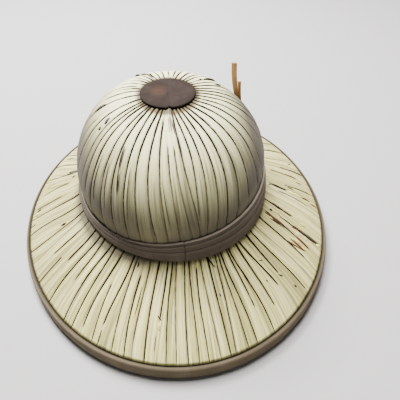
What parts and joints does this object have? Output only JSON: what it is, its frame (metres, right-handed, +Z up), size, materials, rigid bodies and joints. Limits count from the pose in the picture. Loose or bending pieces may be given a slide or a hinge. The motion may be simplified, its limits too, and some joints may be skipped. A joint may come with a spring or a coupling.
{
  "type": "pith helmet",
  "caption": "Sun helmet of pleated palm leaf: a hollow domed crown, a wide sloping brim with a bound rim, a folded band and a round top button.",
  "frame": {"origin": "middle of the rim's outline, on the surface that the rim rests on", "axes": "+Z up through the top button; Y along the wearer's front-to-back axis, the hat's long way; -Y faces the picture's viewer; +X to the viewer's right"},
  "size_m": [0.302, 0.376, 0.1429],
  "materials": {
    "crown_leaf": "satin dried palm leaf, pleated",
    "brim_leaf": "satin dried palm leaf, pleated and worn",
    "band_cloth": "matte woven cloth",
    "button_bark": "matte, grained",
    "rim_binding": "matte bound cloth",
    "raw_leaf": "dry split leaf, matte"
  },
  "bodies": {
    "root": {"crown": "crown_leaf", "brim": "brim_leaf", "rim_hoop": "rim_binding", "hat_band": "band_cloth", "top_button": "button_bark", "sprung_strip_long": "raw_leaf", "sprung_strip_short": "raw_leaf"}
  },
  "joints": []
}
